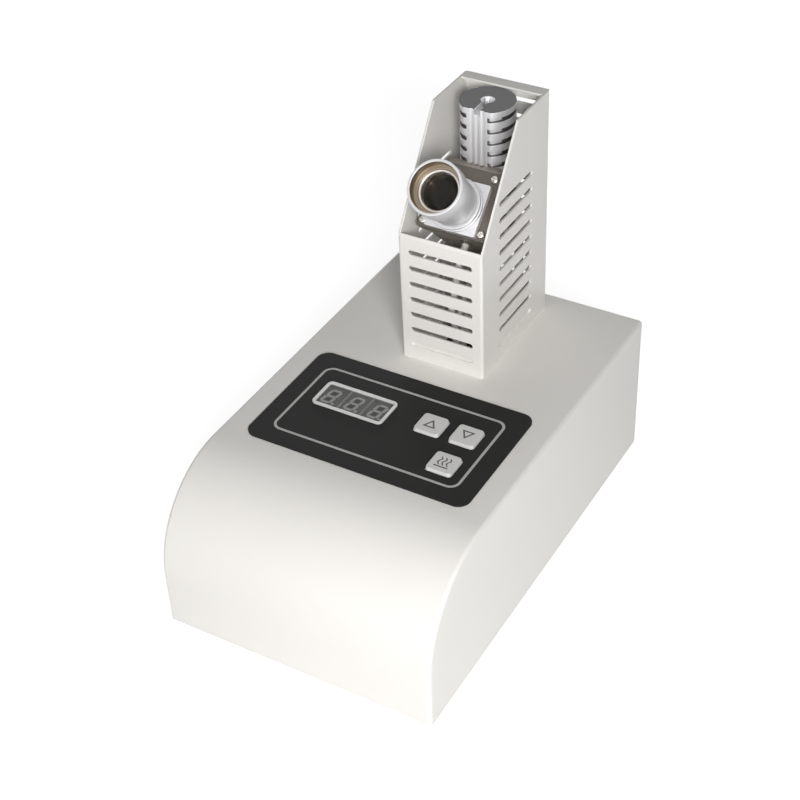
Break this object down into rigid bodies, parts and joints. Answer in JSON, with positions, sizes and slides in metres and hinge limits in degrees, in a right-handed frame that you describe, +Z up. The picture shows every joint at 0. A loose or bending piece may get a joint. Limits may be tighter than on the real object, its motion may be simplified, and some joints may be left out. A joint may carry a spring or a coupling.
{
  "type": "melting point apparatus",
  "caption": "Bench melting point apparatus for capillary tubes: curved case with keypad and display, slotted guard, finned oven and tilted magnifier.",
  "frame": {"origin": "on the bench, under the middle of the case's footprint", "axes": "+Z up, -Y to the user at the keypad end, +X to the user's right"},
  "size_m": [0.16, 0.25, 0.23],
  "materials": {
    "case": "cream white powder coat, fine orange peel",
    "chassis_steel": "cream white powder coat",
    "foot_rubber": "black moulded rubber",
    "screw_steel": "zinc plated",
    "overlay": "black fine-grained polyester film",
    "silver_trim": "satin silver",
    "window": "smoked clear window",
    "digit": "dark grey face",
    "key": "light grey satin",
    "switch_black": "black moulded",
    "circuit_board": "green solder mask",
    "inlet_black": "black moulded",
    "tin": "tinned",
    "brass": "bare turned brass",
    "transformer_steel": "varnished laminations",
    "sink_aluminium": "black anodised",
    "oven_aluminium": "bead-blasted and anodised",
    "dark_aluminium": "dark anodised",
    "lens_glass": "clear polished",
    "lead_sleeve": "white glass-fibre sleeve",
    "terminal": "green moulded",
    "lamp": "clear lamp body"
  },
  "bodies": {
    "base": {"case_shell": "case", "chassis": "chassis_steel", "feet": "foot_rubber", "foot_screws": "screw_steel", "foot_nuts": "screw_steel", "cover_screws": "screw_steel", "cover_nuts": "screw_steel", "keypad_overlay": "overlay", "display_bezel": "silver_trim", "display_window": "window", "digit_modules": "digit", "key_switches": "switch_black", "control_board": "circuit_board", "board_posts": "brass", "board_screws": "screw_steel", "mains_inlet": "inlet_black", "inlet_pins": "tin", "switch_frame": "inlet_black", "power_board": "circuit_board", "power_posts": "brass", "power_board_screws": "screw_steel", "power_post_screws": "screw_steel", "transformer": "transformer_steel", "heat_sink": "sink_aluminium", "triac": "switch_black", "smoothing_capacitor": "switch_black", "terminal_block": "terminal", "guard": "case", "guard_collar": "case", "guard_screws": "screw_steel", "collar_screws": "screw_steel", "collar_nuts": "screw_steel", "lead_grommet": "foot_rubber", "heater_core": "oven_aluminium", "viewing_head": "oven_aluminium", "tilt_plate": "dark_aluminium", "tilt_plate_screws": "screw_steel", "lens_mount": "oven_aluminium", "sample_lamp": "lamp", "heater_cartridges": "tin", "temperature_sensor": "tin", "oven_carrier": "tin", "oven_screws": "screw_steel", "oven_pillars": "tin", "pillar_screws": "screw_steel", "heater_leads": "lead_sleeve", "sensor_lead": "lead_sleeve", "lamp_lead": "lead_sleeve"},
    "key_up": {"key_up": "key", "plunger_up": "switch_black"},
    "key_down": {"key_down": "key", "plunger_down": "switch_black"},
    "key_heat": {"key_heat": "key", "plunger_heat": "switch_black"},
    "power_rocker": {"power_rocker": "inlet_black"},
    "fuse_drawer": {"fuse_drawer": "inlet_black", "fuse": "tin"},
    "eyepiece": {"eyepiece_tube": "oven_aluminium", "lens": "lens_glass", "lens_retainer": "brass"}
  },
  "joints": [
    {"name": "key_up_press", "type": "slide", "parent": "base", "child": "key_up", "axis": [0, 0, -1], "range_m": [0, 0.0008], "stiffness_N_per_m": 1000, "springref_m": -0.0003},
    {"name": "key_down_press", "type": "slide", "parent": "base", "child": "key_down", "axis": [0, 0, -1], "range_m": [0, 0.0008], "stiffness_N_per_m": 1000, "springref_m": -0.0003},
    {"name": "key_heat_press", "type": "slide", "parent": "base", "child": "key_heat", "axis": [0, 0, -1], "range_m": [0, 0.0008], "stiffness_N_per_m": 1000, "springref_m": -0.0003},
    {"name": "power_rocker_turn", "type": "hinge", "parent": "base", "child": "power_rocker", "pos_m": [-0.036, 0.1185, 0.044], "axis": [1, 0, 0], "range_deg": [0, 18]},
    {"name": "fuse_drawer_slide", "type": "slide", "parent": "base", "child": "fuse_drawer", "axis": [0, 1, 0], "range_m": [0, 0.011]},
    {"name": "focus_slide", "type": "slide", "parent": "base", "child": "eyepiece", "axis": [0, -0.7071, 0.7071], "range_m": [-0.001, 0.004]}
  ]
}
